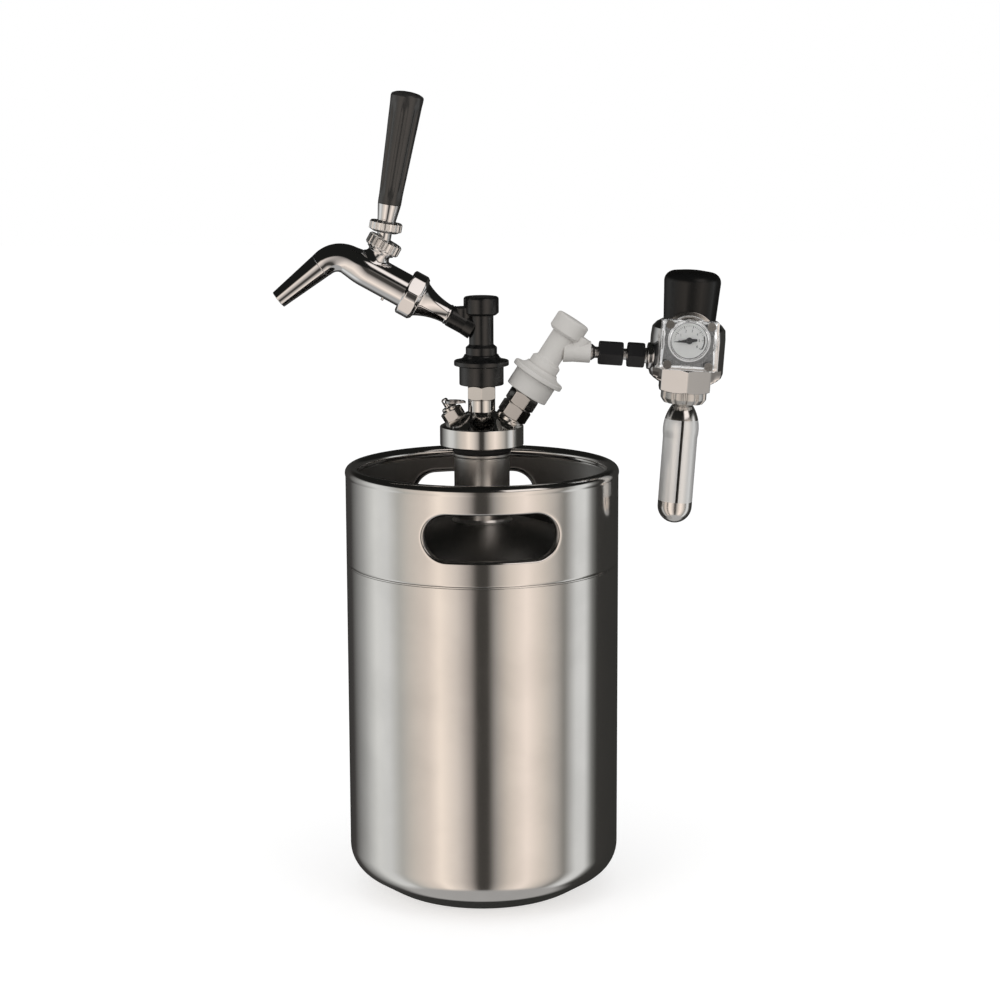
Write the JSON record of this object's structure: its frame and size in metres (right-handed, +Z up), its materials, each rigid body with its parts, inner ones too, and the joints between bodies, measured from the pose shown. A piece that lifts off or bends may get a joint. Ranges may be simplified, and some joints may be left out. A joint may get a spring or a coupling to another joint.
{
  "type": "mini keg beer dispenser",
  "caption": "Stainless mini keg with a screw-in tapping head, a lever faucet on a black quick disconnect and a gas regulator with gauge and cartridge on a grey one, for pouring beer.",
  "frame": {"origin": "centre of the keg's foot, on the surface it stands on", "axes": "+Z up the keg's axis; the faucet reaches out along -X, the regulator along +X, and the gauge faces -Y"},
  "size_m": [0.287, 0.1758, 0.5149],
  "materials": {
    "keg_steel": "polished",
    "turned_steel": "turned and polished",
    "chrome": "polished",
    "spring_wire": "drawn",
    "black_plastic": "satin",
    "grey_plastic": "satin",
    "rubber": "moulded",
    "black_metal": "gloss",
    "dial_paint": "matt white",
    "needle_paint": "matt black",
    "clear_window": "clear",
    "cartridge_paint": "silver with a pale printed wrap"
  },
  "bodies": {
    "keg": {"keg_vessel": "keg_steel", "keg_dome": "keg_steel", "keg_neck": "turned_steel", "handle_collar": "keg_steel"},
    "head": {"head_gasket": "rubber", "head_body": "turned_steel", "gas_post_adapter": "turned_steel", "gas_post": "turned_steel", "liquid_post": "turned_steel", "dip_tube": "turned_steel", "post_o_rings": "rubber", "post_poppets": "turned_steel", "post_poppet_springs": "spring_wire", "relief_valve_body": "turned_steel", "relief_valve_spring": "spring_wire"},
    "relief_stem": {"relief_valve_stem": "turned_steel"},
    "relief_ring": {"relief_pull_ring": "turned_steel"},
    "tap": {"liquid_disconnect_body": "black_plastic", "liquid_disconnect_cap": "black_plastic", "liquid_disconnect_lock_balls": "turned_steel", "liquid_disconnect_plunger": "black_plastic", "liquid_disconnect_plunger_spring": "spring_wire", "liquid_disconnect_collar_spring": "spring_wire", "tap_adapter": "chrome", "tap_coupling_nut": "chrome", "faucet_body": "chrome", "faucet_spout": "chrome", "bonnet_nut": "chrome"},
    "tap_collar": {"liquid_disconnect_collar": "black_plastic"},
    "tap_lever": {"lever": "chrome", "lever_ring": "chrome", "handle_ferrule": "chrome", "tap_handle": "black_plastic"},
    "shuttle": {"faucet_shuttle": "black_plastic", "shuttle_o_ring": "rubber"},
    "regulator": {"gas_disconnect_body": "grey_plastic", "gas_disconnect_cap": "grey_plastic", "gas_disconnect_lock_balls": "turned_steel", "gas_disconnect_plunger": "grey_plastic", "gas_disconnect_plunger_spring": "spring_wire", "gas_disconnect_collar_spring": "spring_wire", "gas_stem": "turned_steel", "gas_swivel_nut": "black_metal", "regulator_outlet_stem": "turned_steel", "regulator_outlet_nut": "black_metal", "regulator_body": "chrome", "cartridge_socket": "chrome", "pierce_pin": "turned_steel", "regulator_diaphragm": "rubber", "regulator_bonnet": "chrome", "regulator_spring": "spring_wire", "gauge_housing": "chrome", "gauge_dial": "dial_paint", "gauge_window": "clear_window", "gauge_screws": "turned_steel"},
    "gas_collar": {"gas_disconnect_collar": "grey_plastic"},
    "knob": {"regulator_knob": "black_plastic"},
    "spring_cap": {"regulator_spring_cap": "chrome"},
    "needle": {"gauge_needle": "needle_paint"},
    "cartridge": {"co2_cartridge": "cartridge_paint"}
  },
  "joints": [
    {"name": "head_lift", "type": "slide", "parent": "keg", "child": "head", "axis": [0, 0, 1], "range_m": [0, 0.28]},
    {"name": "relief_stem_lift", "type": "slide", "parent": "head", "child": "relief_stem", "axis": [-0.515, 0, 0.8572], "range_m": [0, 0.002], "stiffness_N_per_m": 1500, "springref_m": -0.001, "deforming": ["relief_valve_spring"]},
    {"name": "relief_ring_swing", "type": "hinge", "parent": "relief_stem", "child": "relief_ring", "pos_m": [-0.02312, 0, 0.31949], "axis": [0, 1, 0], "range_deg": [-110, 18]},
    {"name": "tap_swivel", "type": "hinge", "parent": "head", "child": "tap", "pos_m": [0, 0, 0.3304], "axis": [0, 0, 1], "range_deg": [-90, 90]},
    {"name": "tap_collar_slide", "type": "slide", "parent": "tap", "child": "tap_collar", "axis": [0, 0, 1], "range_m": [0, 0.0045], "stiffness_N_per_m": 800, "springref_m": -0.002, "deforming": ["liquid_disconnect_collar_spring"]},
    {"name": "tap_lever_pivot", "type": "hinge", "parent": "tap", "child": "tap_lever", "pos_m": [-0.06224, 0, 0.41787], "axis": [0, 1, 0], "range_deg": [0, 37.6]},
    {"name": "shuttle_slide", "type": "slide", "parent": "tap", "child": "shuttle", "axis": [-0.8746, 0, 0.4848], "range_m": [0, 0.0113]},
    {"name": "gas_swivel", "type": "hinge", "parent": "head", "child": "regulator", "pos_m": [0.02838, 0, 0.3247], "axis": [0.5446, 0, 0.8387], "range_deg": [-45, 45]},
    {"name": "gas_collar_slide", "type": "slide", "parent": "regulator", "child": "gas_collar", "axis": [0.5446, 0, 0.8387], "range_m": [0, 0.0045], "stiffness_N_per_m": 800, "springref_m": -0.002, "deforming": ["gas_disconnect_collar_spring"]},
    {"name": "knob_turn", "type": "hinge", "parent": "regulator", "child": "knob", "pos_m": [0.13143, 0, 0.36002], "axis": [-0.0698, 0, -0.9976], "range_deg": [0, 900]},
    {"name": "spring_cap_slide", "type": "slide", "parent": "regulator", "child": "spring_cap", "axis": [-0.0698, 0, -0.9976], "range_m": [0, 0.00375], "deforming": ["regulator_spring"]},
    {"name": "needle_turn", "type": "hinge", "parent": "regulator", "child": "needle", "pos_m": [0.13044, 0, 0.36009], "axis": [0, 1, 0], "range_deg": [0, 220], "stiffness_Nm_per_rad": 0.0001},
    {"name": "cartridge_pull", "type": "slide", "parent": "regulator", "child": "cartridge", "axis": [-0.0698, 0, -0.9976], "range_m": [0, 0.03]}
  ],
  "couplings": [
    {"joint": "shuttle_slide", "follows": "tap_lever_pivot", "m_per_rad": 0.0172},
    {"joint": "knob_turn", "follows": "spring_cap_slide", "rad_per_m": 4188}
  ]
}
